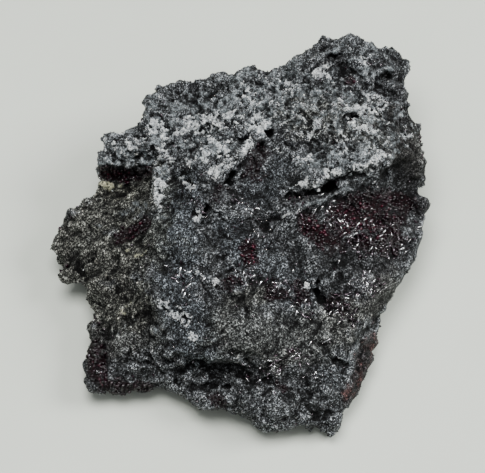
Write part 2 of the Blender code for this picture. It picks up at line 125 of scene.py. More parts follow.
# Ore under a thin grey dust; two strokes below are painted light.
DUSTY = [
    # The first stroke is painted light: it lightens the upper-left block's front face, which lies in shade.
    (8, 0.9, (104, 158), (146, 158)), (18, 0.55, (150, 120), (200, 106), (250, 88), (300, 78)),
    (24, 0.75, (240, 110), (300, 100), (350, 110), (384, 124)), (18, 0.45, (320, 70), (350, 56), (380, 70)),
    (16, 0.7, (180, 140), (230, 140)), (14, 0.75, (310, 160), (380, 150)),
    (14, 0.6, (110, 145), (145, 140)), (8, 0.6, (160, 160), (158, 210)),
    # This stroke is a painted highlight along the top edge of the flank.
    (3.5, 0.5, (376, 328), (355, 350), (349, 372), (344, 392)),
    (4, 0.6, (298, 207), (314, 204), (340, 192), (372, 178)), (9, 0.4, (108, 224), (144, 208)),
    (9, 0.3, (112, 322), (160, 330)),
]
OLIVE = [
    (24, 0.8, (62, 244), (92, 220), (128, 200), (150, 190)), (28, 0.8, (70, 262), (100, 262), (140, 240)),
    (24, 0.8, (100, 300), (132, 306)), (16, 0.4, (100, 340), (150, 330)), (10, 0.6, (240, 300), (262, 292)),
    (24, 0.5, (230, 330), (280, 340), (330, 330)), (8, 1.3, (98, 188), (128, 192)),
    (10, 0.5, (330, 320), (372, 306), (390, 282)), (20, 0.5, (300, 110), (380, 130), (410, 150)),
]
CREAM = [
    (2, 0.7, (100, 183), (110, 184), (122, 186)), (1.4, 0.6, (108, 190), (118, 193)),
    (2.5, 0.9, (136, 255), (146, 251)), (1.5, 0.9, (127, 250), (131, 254)),
    (2, 0.9, (129, 303), (120, 314)),
]
BLUE_GREY = [
    (22, 0.8, (176, 196), (170, 240), (178, 300), (200, 340)), (14, 0.7, (232, 232), (246, 250)),
    (18, 0.5, (262, 260), (300, 300)), (14, 0.5, (280, 170), (250, 196)),
    (20, 0.35, (240, 330), (300, 330), (330, 360)),
]
# Fields of proustite.
RUBY = [
    (7, 1.0, (336, 210), (356, 202), (384, 198), (408, 206)), (13, 1.0, (344, 220), (366, 218), (386, 226)),
    (9, 1.0, (360, 240), (384, 246), (398, 240)), (10, 1.0, (306, 226), (320, 236), (334, 240)),
    (6, 1.0, (250, 246), (252, 260)), (5, 1.0, (106, 173), (124, 176), (148, 172)),
    (5, 0.9, (118, 238), (134, 230), (146, 222)), (5, 0.8, (228, 284), (238, 280)),
    (6, 0.8, (270, 292), (284, 296)), (5, 0.8, (298, 288), (306, 300)),
    (7, 0.9, (94, 352), (98, 372), (106, 388)), (5, 0.8, (118, 386), (146, 388)),
    (3, 0.9, (349, 80), (352, 84)), (8, 0.5, (262, 156), (254, 170)), (4, 0.8, (214, 398), (222, 402)),
    (4, 0.6, (278, 386), (284, 390)), (6, 0.5, (330, 300), (345, 310)), (5, 0.4, (222, 186), (214, 200)),
]
# The steep face at the lower right: rusty red, and darkened there as painted shade.
FLANK = [(7, 1.0, (374, 340), (364, 358), (359, 378), (351, 396))]
# Darker ore, and painted shade in the recess under the upper-left block, in the pocket under the long ledge
# and on the steep flank at the lower right.
DARK = [
    (13, 0.8, (96, 348), (102, 392)), (6, 0.7, (116, 388), (152, 390)), (8, 0.7, (390, 66), (400, 96)),
    (14, 0.95, (400, 122), (412, 178)), (7, 1.0, (427, 197), (423, 212)), (4, 0.4, (112, 168), (144, 168)),
    (8, 0.5, (62, 226), (68, 266)), (14, 0.5, (246, 222), (264, 240)),
    (13, 0.6, (336, 258), (384, 262), (372, 300)), (14, 0.9, (352, 214), (392, 222)),
    (5, 0.8, (330, 54), (344, 66)), (8, 0.7, (374, 206), (408, 206)),
    (7, 0.7, (288, 200), (312, 196), (330, 190)), (6, 0.45, (372, 350), (360, 386)),
    (10, 0.35, (88, 262), (112, 282)),
]
# Places where crystals catch the light, in clusters.
GLINTS = [
    (12, 0.8, (344, 228), (366, 240), (392, 246)), (9, 0.5, (300, 206), (330, 214)),
    (7, 1.0, (244, 274), (262, 282)), (7, 0.8, (272, 284), (292, 292)), (7, 0.8, (296, 300), (306, 312)),
    (7, 1.0, (332, 308), (350, 316)), (8, 1.0, (352, 290), (376, 284)),
    (10, 0.4, (236, 226), (262, 236), (250, 262)), (8, 0.7, (176, 272), (190, 296)),
    (4, 1.0, (290, 354), (303, 359)), (6, 0.6, (255, 378), (280, 366)), (4, 0.6, (310, 372), (320, 378)),
    (6, 0.7, (400, 250), (418, 228)), (6, 0.4, (190, 196), (205, 210)), (4, 0.6, (92, 322), (96, 328)),
    (4, 0.8, (98, 370), (104, 374)), (10, 0.3, (230, 200), (270, 220)), (5, 0.4, (370, 60), (380, 64)),
]
# The largest crystals that flash: middle (u, v), length and its angle in the picture.
FLASHES = [
    (314, 213, 9, 60), (359, 296, 5, 40), (371, 293, 4, 60), (367, 284, 4, 20), (339, 262, 4, 70),
    (336, 312, 6, 20), (340, 322, 5, 45), (343, 309, 4, 80), (356, 233, 5, 15), (364, 224, 4, 85),
    (371, 249, 6, 50), (402, 248, 6, 20), (419, 227, 6, 25), (411, 240, 5, 50), (261, 282, 5, 60),
    (254, 276, 6, 25), (247, 277, 6, 70), (276, 287, 5, 50), (293, 270, 4, 85), (289, 290, 4, 50),
    (306, 300, 5, 60), (292, 306, 4, 30), (297, 313, 5, 75), (328, 341, 9, 25), (311, 343, 6, 60),
    (293, 356, 5, 30), (300, 356, 5, 110), (275, 366, 5, 80), (316, 377, 6, 8), (259, 381, 4, 30),
    (182, 290, 5, 70), (190, 284, 5, 40), (177, 276, 4, 20), (101, 372, 4, 10), (322, 194, 5, 30),
    (334, 201, 5, 15), (205, 279, 5, 50),
]
# Smooth, even faces of the rock, without knobs or grains that stand out.
SMOOTH = [
    (10, 0.9, (250, 196), (285, 168), (303, 176)), (16, 0.5, (180, 240), (180, 340)),
    (11, 0.8, (238, 232), (244, 256)), (13, 0.5, (404, 132), (412, 175)),
    (9, 0.9, (424, 196), (420, 220), (404, 262), (380, 312)), (14, 1.0, (378, 332), (370, 372), (344, 410)),
    (14, 0.5, (268, 268), (262, 300), (300, 326)), (20, 0.6, (76, 248), (104, 226), (142, 202)),
    (12, 0.4, (96, 286), (136, 260)), (10, 0.5, (318, 262), (322, 276)), (18, 0.5, (204, 312), (246, 338)),
    (3, 0.9, (310, 205), (336, 194), (370, 178)), (5, 0.9, (265, 214), (288, 211)),
    (4, 0.8, (268, 150), (280, 154)),
]
# The reddest of the ruby fields.
VIVID = [
    (5, 1.0, (250, 246), (252, 259)), (9, 0.7, (304, 230), (322, 238)), (11, 0.7, (346, 220), (374, 232)),
    (7, 0.6, (368, 208), (392, 208)), (5, 0.8, (112, 176), (132, 175)), (4, 0.6, (124, 236), (140, 226)),
    (3, 0.3, (349, 80), (352, 84)), (6, 0.5, (370, 362), (362, 384)), (5, 0.5, (96, 364), (104, 384)),
    (5, 0.5, (228, 284), (238, 281)),
]
# Each zone's strokes, and its patches where the camera sees nothing: size in millimetres, share, seed.
ZONES = {
    "pale": (PALE, 5.0, 0.12, 81), "dusty": (DUSTY, 9.0, 0.3, 82), "olive": (OLIVE, 11.0, 0.35, 83),
    "cream": (CREAM, 4.0, 0.02, 84), "blue": (BLUE_GREY, 10.0, 0.3, 85), "ruby": (RUBY, 6.0, 0.12, 86),
    "glint": (GLINTS, 5.0, 0.10, 87), "even": (SMOOTH, 10.0, 0.25, 88), "flank": (FLANK, 8.0, 0.1, 79),
    "dark": (DARK, 7.0, 0.15, 78),
}
# How the coatings break up: least cover that stays, effect of bare lumps, softness of the edge.
BROKEN_UP = {"pale": (0.66, -1.1, 0.5), "dusty": (0.46, 0.1, 0.6), "cream": (0.62, -0.5, 0.4)}

# ---- Relief: strokes of half-width in pixels, height in millimetres, points (u, v) ----
# Hollows sunk into the skin along the view.
HOLLOWS = [
    (4, 3.2, (284, 200), (300, 196), (318, 190), (332, 185)), (5, 2.2, (288, 198), (298, 199)),
    (2.2, 1.2, (112, 176), (124, 177), (136, 174)), (4, 2.4, (138, 173), (148, 171)),
    (1.8, 1.4, (153, 146), (156, 178)), (4.5, 2.4, (332, 58), (342, 54)), (2.5, 1.4, (343, 62), (338, 66)),
    (5.5, 1.8, (378, 82), (388, 76)), (4.5, 2.6, (347, 118), (354, 116)),
    (4.5, 3.2, (206, 210), (208, 218)), (4.5, 2.0, (227, 182), (232, 174)),
    (2.5, 1.6, (241, 98), (243, 93)), (2.8, 1.6, (257, 108), (268, 106)),
    (3.5, 2.2, (264, 128), (269, 134)), (6, 1.2, (254, 142), (260, 156)), (2, 1.4, (211, 114), (218, 115)),
    (2.5, 1.6, (303, 82), (305, 78)), (3, 2.0, (286, 143), (291, 146)), (4, 2.8, (318, 284), (322, 302)),
    (4, 1.4, (328, 304), (330, 312)), (3.5, 1.2, (174, 378), (180, 384)),
    (3, 1.2, (103, 344), (104, 362), (106, 378)), (7, 1.4, (304, 408), (324, 414)),
    (4, 0.7, (192, 200), (198, 230)), (3.5, 0.6, (222, 216), (221, 232)),
    (4.5, 1.0, (236, 262), (230, 272)), (2.5, 1.2, (318, 66), (310, 74)), (4, 0.5, (240, 292), (246, 318)),
    (2.5, 1.2, (330, 128), (334, 144)), (4.5, 0.6, (352, 206), (342, 214)),
    (5, 0.9, (388, 212), (396, 220)), (3, 1.0, (392, 250), (394, 256)),
    (2.5, 1.0, (150, 196), (146, 214), (130, 240)), (2, 0.8, (98, 254), (84, 268)),
    (2, 0.8, (120, 262), (104, 284)), (2, 0.8, (270, 400), (262, 414)),
]
# Where the outline stands further out, along the skin's normals.
SWELLS = [
    (8, 1.2, (386, 310), (376, 340), (371, 358)), (12, 1.6, (374, 344), (368, 358)),
    (7, 0.7, (368, 362), (356, 388), (345, 408)), (6, 0.9, (344, 412), (332, 428)),
    (6, 0.6, (97, 152), (97, 176), (90, 200)), (6, 0.4, (62, 218), (54, 232), (54, 256)),
    (7, 0.9, (88, 304), (97, 312), (94, 326)), (6, 1.3, (424, 204), (421, 224)),
    (6, 0.5, (421, 232), (408, 266)), (8, 0.55, (150, 98), (170, 85), (204, 81)),
    (6, 0.35, (126, 132), (146, 108)), (6, 0.5, (408, 60), (411, 72), (405, 84)),
]
# Where the outline stands further in.
DRAWN_IN = [
    (6, 0.7, (84, 344), (82, 374)), (5, 0.5, (68, 284), (78, 298)),
    (6, 0.5, (94, 400), (130, 400), (172, 398)), (6, 0.75, (202, 416), (246, 423)),
    (6, 0.7, (405, 106), (420, 124), (427, 142), (428, 172)), (6, 0.4, (408, 272), (400, 288)),
    (5, 0.5, (312, 46), (322, 35)), (5, 0.7, (248, 65), (262, 66)),
]
# Ridges and lumps raised along the view.
RIDGES = [
    (3.5, 1.0, (300, 184), (318, 181), (336, 172), (384, 158)), (2.2, 1.4, (314, 184), (318, 188)),
    (5, 1.3, (296, 208), (312, 205), (340, 193), (374, 178)), (4, 0.8, (266, 214), (286, 211)),
    (3, 0.9, (262, 134), (246, 152), (234, 168)), (3, 0.7, (66, 236), (100, 212), (132, 196)),
    (2.5, 0.6, (70, 262), (108, 236), (140, 216)), (2.5, 0.6, (90, 286), (126, 258)),
    (2, 0.5, (116, 312), (130, 302)), (2.6, 1.3, (304, 287), (312, 282)),
    (2.2, 0.9, (200, 208), (198, 222)), (3.5, 0.8, (158, 176), (154, 206)),
    (5, 0.7, (168, 350), (240, 358)), (3.5, 0.5, (374, 330), (355, 350), (350, 372), (344, 394)),
    (2.5, 0.7, (96, 184), (124, 190)), (6, 2.2, (104, 164), (124, 167), (146, 164)),
    (4, 1.6, (342, 184), (360, 179), (376, 173)), (7, 1.2, (188, 378), (214, 379), (238, 381)),
    (4, 1.0, (160, 365), (184, 366)), (4, 0.8, (130, 366), (160, 368)), (4.5, 0.9, (250, 370), (264, 375)),
]


# ---- Small mathematics ----
def picture_place(points):
    """Where points, in millimetres, stand in the picture: (u, v) in its pixels."""
    offset = points - (LOOK_AT + DISTANCE * TOWARDS_CAMERA)
    scale = DISTANCE / (-(offset @ TOWARDS_CAMERA) * PIXEL)
    u = PICTURE[0] / 2 + offset[:, 0] * scale
    v = PICTURE[1] / 2 - (offset @ PICTURE_UP) * scale
    return np.stack([u, v], axis=1)


def smooth_step(value):
    value = np.clip(value, 0.0, 1.0)
    return value * value * (3.0 - 2.0 * value)


def hashed(cells, seed):
    """A number from 0 to 1 for each whole-numbered cell, stirred by large primes."""
    mixed = (cells[:, 0] * 73856093) ^ (cells[:, 1] * 19349663) ^ (cells[:, 2] * 83492791) ^ (seed * 15485863)
    mixed = (mixed & 0xFFFFFFFF) * 2246822519 & 0xFFFFFFFF
    mixed = ((mixed ^ (mixed >> 15)) * 3266489917) & 0xFFFFFFFF
    return (mixed ^ (mixed >> 13)) / 0xFFFFFFFF


def value_noise(points, wavelength, seed):
    """Smooth noise from -1 to 1."""
    place = points / wavelength + 100.0
    cell = np.floor(place).astype(np.int64)
    part = place - cell
    part = part * part * (3.0 - 2.0 * part)
    total = np.zeros(len(points))
    for corner in itertools.product((0, 1), repeat=3):
        weight = np.prod(np.where(corner, part, 1.0 - part), axis=1)
        total += weight * hashed(cell + np.array(corner), seed)
    return 2.0 * total - 1.0


def layered_noise(points, *layers):
    """The sum of layers of noise: (strength, wavelength, seed)."""
    return sum(strength * value_noise(points, wavelength, seed) for strength, wavelength, seed in layers)


def scattered_centres(place, seed):
    """For each of the 27 cells round a place: the cell, and the place seen from a centre in it."""
    cell = np.floor(place).astype(np.int64)
    for corner in itertools.product((-1, 0, 1), repeat=3):
        other = cell + np.array(corner)
        yield other, place - other - np.stack([hashed(other, seed + k) for k in range(3)], axis=1)


def cell_noise(points, size, seed):
    """Distance to the nearest and second nearest of scattered centres, in cell sizes."""
    nearest = np.full(len(points), 9.0)
    second = np.full(len(points), 9.0)
    for _, offset in scattered_centres(points / size + 100.0, seed):
        gap = np.linalg.norm(offset, axis=1)
        second = np.minimum(second, np.maximum(gap, nearest))
        nearest = np.minimum(nearest, gap)
    return nearest, second


def stroke_gap(places, path):
    """How many pixels each place is from the path."""
    corners = np.array(path, float)
    gap = np.full(len(places), np.inf)
    for start, end in zip(corners[:-1], corners[1:]):
        run = end - start
        along = np.clip((places - start) @ run / (run @ run), 0.0, 1.0)
        gap = np.minimum(gap, np.linalg.norm(places - start - along[:, None] * run, axis=1))
    return gap


def most_drawn(places, strokes, reach, edge, broken, ragged, thin_ragged=0.0):
    """The most that the strokes give each place: their amounts inside, 0 outside, with ragged edges."""
    most = np.zeros(len(places))
    for half_width, amount, *path in strokes:
        frayed = (ragged + thin_ragged / half_width) * broken
        inside = 1.0 - stroke_gap(places, path) / (reach * half_width) + frayed
        most = np.maximum(most, amount * smooth_step(inside / edge))
    return most


def stroke_cover(places, points, strokes):
    """How far the strokes cover each place, with edges broken by noise, most on the thin strokes."""
    broken = layered_noise(points, (0.5, 2.6, 11), (0.5, 1.1, 12), (0.35, 0.45, 13))
    return most_drawn(places, strokes, 1.5, 0.55, broken, 0.55, 1.2)


def stroke_relief(places, points, strokes, edge, ragged=0.45):
    """The most relief that the strokes give each place, in millimetres."""
    broken = layered_noise(points, (0.5, 1.5, 13), (0.5, 0.8, 14))
    return most_drawn(places, strokes, 1.25, edge, broken, ragged)


def facing_camera(normals):
    return smooth_step((normals @ TOWARDS_CAMERA + 0.1) / 0.35)


def above_rest(points):
    """0 where the skin rests on the floor, 1 where relief may move it."""
    return smooth_step((points[:, 2] - REST_HEIGHT) / REST_FADE)


# ---- Meshes from arrays ----
def linked(name, data):
    """A new object in the scene."""
    obj = bpy.data.objects.new(name, data)
    bpy.context.scene.collection.objects.link(obj)
    return obj


def mesh_object(name, points, faces):
    """An object from its points, in millimetres, and its smoothly shaded faces."""
    mesh = bpy.data.meshes.new(name)
    mesh.from_pydata(points * MM, [], faces, shade_flat=False)
    return linked(name, mesh)


def store(obj, name, values):
    attribute = obj.data.attributes.new(name, "FLOAT", "POINT")
    attribute.data.foreach_set("value", values.astype(np.float32))


def arrays_of(mesh):
    """A mesh's points, normals (both in millimetres' axes) and edges."""
    points = np.empty(len(mesh.vertices) * 3, np.float32)
    normals = np.empty(len(mesh.vertices) * 3, np.float32)
    edges = np.empty(len(mesh.edges) * 2, np.int32)
    mesh.vertices.foreach_get("co", points)
    mesh.vertices.foreach_get("normal", normals)
    mesh.edges.foreach_get("vertices", edges)
    return points.reshape(-1, 3) / MM, normals.reshape(-1, 3).astype(float), edges.reshape(-1, 2)


def set_points(mesh, points):
    mesh.vertices.foreach_set("co", (points * MM).astype(np.float32).ravel())
    mesh.update()


def relaxed(points, edges, passes, share):
    """Points drawn to the middle of their neighbours, by a share for each point."""
    count = np.bincount(edges.ravel(), minlength=len(points))
    ends = np.concatenate([edges[:, 0], edges[:, 1]])
    others = np.concatenate([edges[:, 1], edges[:, 0]])
    for _ in range(passes):
        middle = np.stack([np.bincount(ends, points[others, axis], len(points)) for axis in range(3)], axis=1)
        points = points + share[:, None] * (middle / count[:, None] - points)
    return points


# ---- Grains and crystals ----
# A shape is its points, one unit from its axis, and its triangles.
OCTAHEDRON = (
    np.array([(1, 0, 0), (0, 1, 0), (-1, 0, 0), (0, -1, 0), (0, 0, 1), (0, 0, -1)], float),
    np.array([(0, 1, 4), (1, 2, 4), (2, 3, 4), (3, 0, 4), (1, 0, 5), (2, 1, 5), (3, 2, 5), (0, 3, 5)]),
)


def pointed_prism(sides, point_share):
    """A prism of one unit's radius and length, whose far end is pointed."""
    angles = [math.tau * k / sides for k in range(sides)]
    ring = [(math.cos(a), math.sin(a)) for a in angles]
    points = [(x, y, 0.0) for x, y in ring] + [(x, y, 1.0 - point_share) for x, y in ring] + [(0.0, 0.0, 1.0)]
    triangles = []
    for k in range(sides):
        after = (k + 1) % sides
        triangles += [(k, after, sides + after), (k, sides + after, sides + k)]
        triangles += [(sides + k, sides + after, 2 * sides)]
    triangles += [(0, k + 1, k) for k in range(1, sides - 1)]
    return np.array(points), np.array(triangles)


class Surface:
    """The skin's triangles, for places to grow things on."""

    def __init__(self, skin):
        self.skin = skin
        mesh = skin.data
        mesh.calc_loop_triangles()
        corners = np.empty(len(mesh.loop_triangles) * 3, np.int32)
        mesh.loop_triangles.foreach_get("vertices", corners)
        points, normals, _ = arrays_of(mesh)
        corners = corners.reshape(-1, 3)
        self.corners = points[corners]
        cross = np.cross(self.corners[:, 1] - self.corners[:, 0], self.corners[:, 2] - self.corners[:, 0])
        self.area = np.linalg.norm(cross, axis=1) / 2.0
        self.normals = normals[corners].mean(axis=1)
        self.normals /= np.linalg.norm(self.normals, axis=1)[:, None] + 1e-9
        self.middles = self.corners.mean(axis=1)
        self.places = picture_place(self.middles)
        self.corner_indices = corners

    def seen_at(self, u, v):
        """The triangle that the camera sees at a place in the picture."""
        gap = np.linalg.norm(self.places - np.array((u, v), float), axis=1)
        return int(np.argmax(self.middles @ TOWARDS_CAMERA - 8.0 * np.maximum(gap - 1.0, 0.0)))

    def averaged(self, values):
        """Values of the points, averaged over each triangle."""
        return values[self.corner_indices].mean(axis=1)

    def sample(self, density, limit, rng):
        """At most limit triangles, places on them and normals, by a density per square millimetre."""
        expected = self.area * density
        total = min(int(expected.sum()), limit)
        steps = np.cumsum(expected)
        picks = np.searchsorted(steps, (np.arange(total) + rng.random(total)) / total * steps[-1])
        picks = np.clip(picks, 0, len(self.area) - 1)
        a, b = rng.random((2, total))
        flip = a + b > 1.0
        a, b = np.where(flip, 1.0 - a, a), np.where(flip, 1.0 - b, b)
        corners = self.corners[picks]
        places = (corners[:, 0] + a[:, None] * (corners[:, 1] - corners[:, 0])
                  + b[:, None] * (corners[:, 2] - corners[:, 0]))
        return picks, places, self.normals[picks]


def unit(vectors):
    return vectors / np.linalg.norm(vectors, axis=1)[:, None]


def leaning(normals, spread, rng):
    """The normals, each leaned by a random amount."""
    axes = normals + spread * rng.normal(size=normals.shape)
    return axes / (np.linalg.norm(axes, axis=1)[:, None] + 1e-9)


def turned_frames(normals, spread, rng):
    """For each normal, leaned, three square directions: two across it at a random turn, and itself."""
    axes = leaning(normals, spread, rng)
    across = unit(np.cross(np.where(np.abs(axes[:, 2:3]) < 0.8, UP, RIGHT), axes))
    turn = rng.random(len(axes)) * math.tau
    first = across * np.cos(turn)[:, None] + np.cross(axes, across) * np.sin(turn)[:, None]
    return np.stack([first, np.cross(axes, first), axes], axis=1)


def grown(name, shape, places, frames, sizes, jitter, rng):
    """Copies of a shape as one mesh, each with its place, three directions and sizes along them."""
    corners, triangles = shape
    count = len(places)
    local = corners[None, :, :] * sizes[:, None, :]
    if jitter:
        local = local * (1.0 + jitter * (rng.random(local.shape) - 0.5))
    points = places[:, None, :] + np.einsum("nvk,nkd->nvd", local, frames)
    faces = triangles[None, :, :] + (np.arange(count) * len(corners))[:, None, None]
    return mesh_object(name, points.reshape(-1, 3), faces.reshape(-1, 3))


def store_each(obj, name, values, shape):
    """One value for every copy, on all its points."""
    store(obj, name, np.repeat(values, len(shape[0])))


# ---- The skin of the rock ----
def baked(obj):
    """The object's mesh becomes what its modifiers make of it."""
    graph = bpy.context.evaluated_depsgraph_get()
    mesh = bpy.data.meshes.new_from_object(obj.evaluated_get(graph))
    obj.modifiers.clear()
    obj.data = mesh


def fused(obj, voxel):
    """The object's mesh, remade as one even skin."""
    fuse = obj.modifiers.new("fuse", "REMESH")
    fuse.mode = "VOXEL"
    fuse.voxel_size = voxel * MM
    baked(obj)


def merged(meshes):
    """One mesh that holds all of them."""
    bm = bmesh.new()
    for mesh in meshes:
        bm.from_mesh(mesh)
    whole = bpy.data.meshes.new("skin")
    bm.to_mesh(whole)
    bm.free()
    return whole


def joined_nodes():
    """One object that holds a copy of every CAD node's mesh, fused into one skin."""
    skin = linked("ore_skin", merged([node.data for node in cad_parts.values()]))
    fused(skin, COARSE_VOXEL)
    return skin


def clod_places(surface, rng):
    """Places and normals of the clods: the scattered ones, then the nubs."""
    raised = smooth_step((surface.middles[:, 2] - 1.0) / 2.0)
    patchy = 0.75 + 0.6 * value_noise(surface.middles, 6.0, 41)
    crusty = stroke_cover(surface.places, surface.middles, DUSTY + PALE)
    even = stroke_cover(surface.places, surface.middles, SMOOTH)
    density = CLODS_PER_MM2 * raised * patchy * (0.5 - 0.25 * crusty) * (1.0 - even)
    _, places, normals = surface.sample(density, CLODS_MOST, rng)
    nubs = [surface.seen_at(u, v) for u, v, _ in NUBS]
    return np.concatenate([places, surface.middles[nubs]]), np.concatenate([normals, surface.normals[nubs]])


def ball():
    """A coarse ball of one unit's radius."""
    bm = bmesh.new()
    bmesh.ops.create_icosphere(bm, subdivisions=1, radius=1.0)
    shape = (np.array([v.co for v in bm.verts]), np.array([[v.index for v in f.verts] for f in bm.faces]))
    bm.free()
    return shape


def add_clods(skin):
    """Angular clods all over the skin, half sunk in it and fused with it."""
    rng = np.random.default_rng(SEEDS["clods"])
    places, normals = clod_places(Surface(skin), rng)
    count = len(places)
    radius = CLOD_RADIUS[0] + (CLOD_RADIUS[1] - CLOD_RADIUS[0]) * rng.random(count) ** 2.0
    radius[-len(NUBS):] = [nub_radius for _, _, nub_radius in NUBS]
    sizes = radius[:, None] * (0.65 + 0.7 * rng.random((count, 3)))
    places = places - normals * (0.25 * radius)[:, None]
    clods = grown("clods", ball(), places, turned_frames(normals, 0.5, rng), sizes, 0.45, rng)
    skin.data = merged([skin.data, clods.data])
    bpy.data.objects.remove(clods)
    fused(skin, FINE_VOXEL)


def thin_underside(skin):
    """Larger triangles on the skin's downward faces, which hardly show."""
    _, normals, _ = arrays_of(skin.data)
    group = skin.vertex_groups.new(name="downward")
    group.add(np.flatnonzero(normals[:, 2] < 0.0).tolist(), 1.0, "REPLACE")
    thin = skin.modifiers.new("thin", "DECIMATE")
    thin.vertex_group = "downward"
    thin.vertex_group_factor = 10.0
    thin.ratio = min(1.0, SKIN_TRIANGLES / triangle_count(skin.data))
    baked(skin)
    skin.vertex_groups.clear()


def triangle_count(mesh):
    return sum(len(face.vertices) - 2 for face in mesh.polygons)


def near_seats(points):
    """1 over the crusts' seats, 0 away from them."""
    over = np.zeros(len(points))
    for name in CRUSTS:
        low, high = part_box(name)
        middle = np.array(low + high) / 2.0 / MM
        half = np.array(high - low) / 2.0 / MM + 0.8
        reach = np.linalg.norm((points - middle) / half, axis=1)
        over = np.maximum(over, smooth_step((1.35 - reach) / 0.3))
    return over


def warped(points, size, seed):
    """Points pushed about, so that what is drawn on them loses its straight lines."""
    pushes = [value_noise(points, size, seed + axis) for axis in range(3)]
    return points + 0.45 * size * np.stack(pushes, axis=1)


def chips(points, size, seed):
    """Broken faces that tilt at random and stand at random heights, from about -0.5 to 0.5."""
    place = warped(points, 0.7 * size, seed + 20) / size + 100.0
    nearest = np.full(len(points), 9.0)
    height = np.zeros(len(points))
    for other, offset in scattered_centres(place, seed):
        tilt = np.stack([hashed(other, seed + k) for k in range(3, 6)], axis=1) - 0.5
        own = 0.6 * (hashed(other, seed + 6) - 0.5) + 1.2 * (offset * tilt).sum(axis=1)
        gap = np.linalg.norm(offset, axis=1)
        height = np.where(gap < nearest, own, height)
        nearest = np.minimum(gap, nearest)
    return height


def pits(points, size, seed):
    """Scattered ragged pits, 1 at their bottoms and 0 between them."""
    nearest, _ = cell_noise(warped(points, 1.2, seed + 20), size, seed)
    return smooth_step((0.25 - nearest + 0.10 * value_noise(points, 0.8, seed + 5)) / 0.10)


def filigree(points):
    """1 along the thin walls between scattered cells, 0 inside the cells."""
    nearest, second = cell_noise(warped(points, 0.9, 97), 1.3, 98)
    return smooth_step((0.24 - (second - nearest)) / 0.16)


def streaks(points):
    """Noise drawn out along the rock's grain, which climbs to the right."""
    grain = 0.86 * RIGHT + 0.51 * PICTURE_UP
    drawn = points - 0.78 * (points @ grain)[:, None] * grain
    return layered_noise(drawn, (0.6, 1.5, 15), (0.4, 0.7, 16))


def large_relief(skin):
    """Softens the solids' facets, then carves the hollows and raises the ridges."""
    points, _, edges = arrays_of(skin.data)
    free = above_rest(points)
    points = relaxed(points, edges, SEAT_SMOOTHING, 0.5 * near_seats(points) * free)
    points = relaxed(points, edges, SMOOTHING, 0.5 * free)
    set_points(skin.data, points)
    points, normals, _ = arrays_of(skin.data)
    places = picture_place(points)
    rise = stroke_relief(places, points, RIDGES, 0.9) - stroke_relief(places, points, HOLLOWS, 0.45)
    rise = rise * facing_camera(normals) * free
    swell = stroke_relief(places, points, SWELLS, 0.8, ragged=0.0)
    swell -= stroke_relief(places, points, DRAWN_IN, 0.8, ragged=0.0) + SUNK
    points = points + normals * (swell * free)[:, None]
    set_points(skin.data, points + rise[:, None] * TOWARDS_CAMERA)


def fine_relief(skin):
    """Knobs, streaks and pits, along the skin's normals."""
    points, normals, _ = arrays_of(skin.data)
    free = above_rest(points)
    places = picture_place(points)
    facing = facing_camera(normals)
    even = stroke_cover(places, points, SMOOTH) * facing
    crusty = stroke_cover(places, points, DUSTY + PALE)
    streaky = 0.15 + 0.60 * stroke_cover(places, points, OLIVE)
    rise = 0.55 * value_noise(points, 5.0, 1) * (1.0 - 0.5 * even)
    broken = 0.75 * chips(points, 3.4, 5) + (0.20 + 0.20 * crusty) * chips(points, 1.2, 6)
    broken += (0.08 + 0.10 * crusty) * value_noise(points, 0.6, 8)
    lumps = islands(points) * crusty
    broken += crusty * (0.40 * filigree(points) - 0.9 * pits(points, 2.6, 60) + 0.3 * chips(points, 1.7, 7))
    broken = broken * (1.0 - 0.6 * lumps) + 0.5 * lumps
    rise += broken * (1.0 - 0.8 * even) + streaky * streaks(points) * (1.0 - 0.6 * even)
    points = points + normals * (rise * free)[:, None]
    points[:, 2] = np.maximum(points[:, 2], 0.0)
    set_points(skin.data, points)


def prominence(mesh):
    """How far each point stands out of its surroundings: 0 deep down, 1 on a peak."""
    points, normals, edges = arrays_of(mesh)
    half = np.full(len(points), 0.5)
    near = relaxed(points, edges, 8, half)
    far = relaxed(near, edges, 40, half)
    rise = ((points - near) * normals).sum(axis=1) / 0.14 + ((near - far) * normals).sum(axis=1) / 0.40
    upward = 0.3 + 0.7 * smooth_step((normals[:, 2] + 0.3) / 0.5)
    return np.clip(0.5 + 0.25 * rise * upward, 0.0, 1.0)


def build_skin():
    skin = joined_nodes()
    large_relief(skin)
    add_clods(skin)
    thin_underside(skin)
    fine_relief(skin)
    skin.data.polygons.foreach_set("use_smooth", np.ones(len(skin.data.polygons), bool))
    return skin


# ---- Zones over the skin ----
def patches(points, size, share, seed):
    """Patches of noise that cover about this share of the surface, from 0 to 1."""
    rough = layered_noise(points, (0.7, size, seed), (0.3, size / 3.0, seed + 1))
    return smooth_step((rough - 0.55 + 1.1 * share) / 0.2)


def islands(points):
    """Smooth lumps of bare ore, a few millimetres across, that the crust grows round."""
    nearest, _ = cell_noise(warped(points, 2.2, 91), 4.6, 90)
    return smooth_step((0.42 - nearest) / 0.14)


def zone_covers(points, normals, rise):
    """Each zone's cover at each point: strokes where the camera sees it, patches elsewhere."""
    places = picture_place(points)
    facing = facing_camera(normals)
    covers = {}
    for name, (strokes, size, share, seed) in ZONES.items():
        drawn = stroke_cover(places, points, strokes)
        covers[name] = facing * drawn + (1.0 - facing) * patches(points, size, share, seed)
    covers["rise"] = rise
    covers["dark"] = np.maximum(covers["dark"], 0.6 * covers["glint"])
    bare = islands(points)
    field = layered_noise(points, (0.5, 1.5, 91), (0.4, 0.7, 92)) + 0.35 * (rise - 0.5)
    for name, (least, on_bare, softness) in BROKEN_UP.items():
        reach = smooth_step(covers[name] / 0.3)
        covers[name] = reach * smooth_step((covers[name] - least + 0.95 * field + on_bare * bare) / softness)
    return covers


